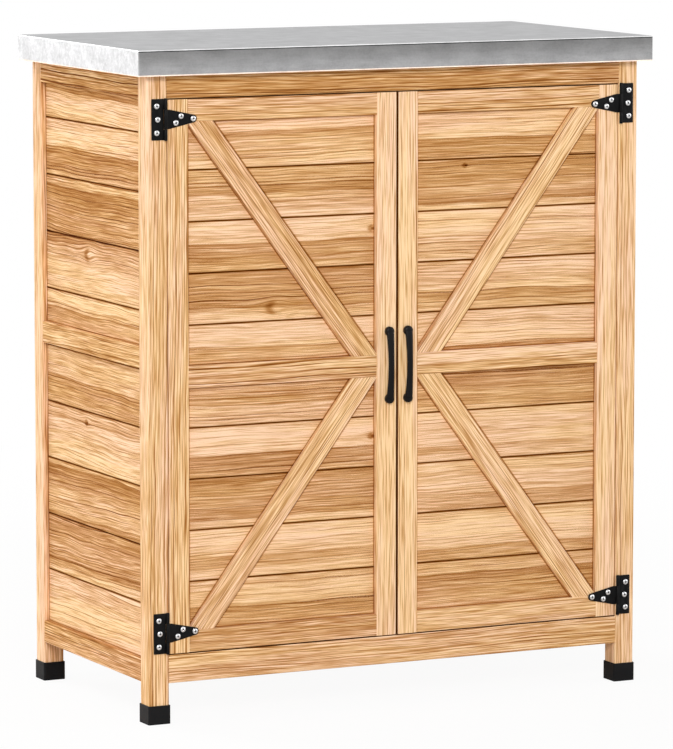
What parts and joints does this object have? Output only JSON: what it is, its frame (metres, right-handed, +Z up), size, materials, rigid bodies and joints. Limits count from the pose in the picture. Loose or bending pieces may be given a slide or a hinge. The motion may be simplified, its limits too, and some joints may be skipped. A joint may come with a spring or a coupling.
{
  "type": "garden storage cabinet",
  "caption": "Wooden garden cabinet with two braced doors on black strap hinges, boarded sides and back, an inside shelf and a sheet-metal worktop.",
  "frame": {"origin": "on the floor, under the middle of the worktop", "axes": "+X to the right as seen from the front, +Y from the doors towards the back, +Z up"},
  "size_m": [0.809, 0.429, 0.9415],
  "materials": {
    "fir_frame": "clear-oiled pale fir, satin",
    "fir_boards": "clear-oiled fir with strong grain, satin",
    "inside_fir": "planed fir, matt",
    "beech_dowel": "plain beech",
    "galvanised_sheet": "galvanised, mottled, dull",
    "zinc_plated_steel": "zinc plated",
    "bright_screw_steel": "bright zinc plated",
    "black_hinge_steel": "black powder coat, satin",
    "black_handle": "black lacquer, satin",
    "black_foot_plastic": "moulded black plastic",
    "catch_plastic": "moulded off-white plastic"
  },
  "bodies": {
    "carcass": {"front_left_post": "fir_frame", "front_right_post": "fir_frame", "back_left_post": "fir_frame", "back_right_post": "fir_frame", "front_top_rail": "fir_frame", "front_bottom_rail": "fir_frame", "back_top_rail": "fir_frame", "back_bottom_rail": "fir_frame", "left_side_top_rail": "fir_frame", "left_side_middle_rail": "fir_frame", "left_side_bottom_rail": "fir_frame", "right_side_top_rail": "fir_frame", "right_side_middle_rail": "fir_frame", "right_side_bottom_rail": "fir_frame", "left_side_boards": "fir_boards", "right_side_boards": "fir_boards", "back_boards": "fir_boards", "floor_boards": "inside_fir", "shelf_boards": "inside_fir", "cleats": "inside_fir", "door_stop": "inside_fir", "top_core": "inside_fir", "top_sheet": "galvanised_sheet", "foot_caps": "black_foot_plastic", "left_hinge_leaves": "black_hinge_steel", "right_hinge_leaves": "black_hinge_steel", "hinge_pins": "black_hinge_steel", "leaf_screws": "bright_screw_steel", "frame_dowels": "beech_dowel", "top_brackets": "zinc_plated_steel", "short_screws": "bright_screw_steel", "cleat_screws": "bright_screw_steel", "catch_housings": "catch_plastic", "catch_magnets": "zinc_plated_steel"},
    "left_door": {"left_door_hinge_stile": "fir_frame", "left_door_lock_stile": "fir_frame", "left_door_top_rail": "fir_frame", "left_door_middle_rail": "fir_frame", "left_door_bottom_rail": "fir_frame", "left_door_upper_brace": "fir_frame", "left_door_lower_brace": "fir_frame", "left_door_boards": "fir_boards", "left_door_handle": "black_handle", "left_door_handle_screws": "bright_screw_steel", "left_door_hinge_straps": "black_hinge_steel", "left_door_strap_screws": "bright_screw_steel", "left_door_strike_plate": "zinc_plated_steel"},
    "right_door": {"right_door_hinge_stile": "fir_frame", "right_door_lock_stile": "fir_frame", "right_door_top_rail": "fir_frame", "right_door_middle_rail": "fir_frame", "right_door_bottom_rail": "fir_frame", "right_door_upper_brace": "fir_frame", "right_door_lower_brace": "fir_frame", "right_door_boards": "fir_boards", "right_door_handle": "black_handle", "right_door_handle_screws": "bright_screw_steel", "right_door_hinge_straps": "black_hinge_steel", "right_door_strap_screws": "bright_screw_steel", "right_door_strike_plate": "zinc_plated_steel"}
  },
  "joints": [
    {"name": "left_door_hinge", "type": "hinge", "parent": "carcass", "child": "left_door", "pos_m": [-0.3591, -0.2033, 0.4865], "axis": [0, 0, -1], "range_deg": [0, 165]},
    {"name": "right_door_hinge", "type": "hinge", "parent": "carcass", "child": "right_door", "pos_m": [0.3591, -0.2033, 0.4865], "axis": [0, 0, 1], "range_deg": [0, 165]}
  ]
}
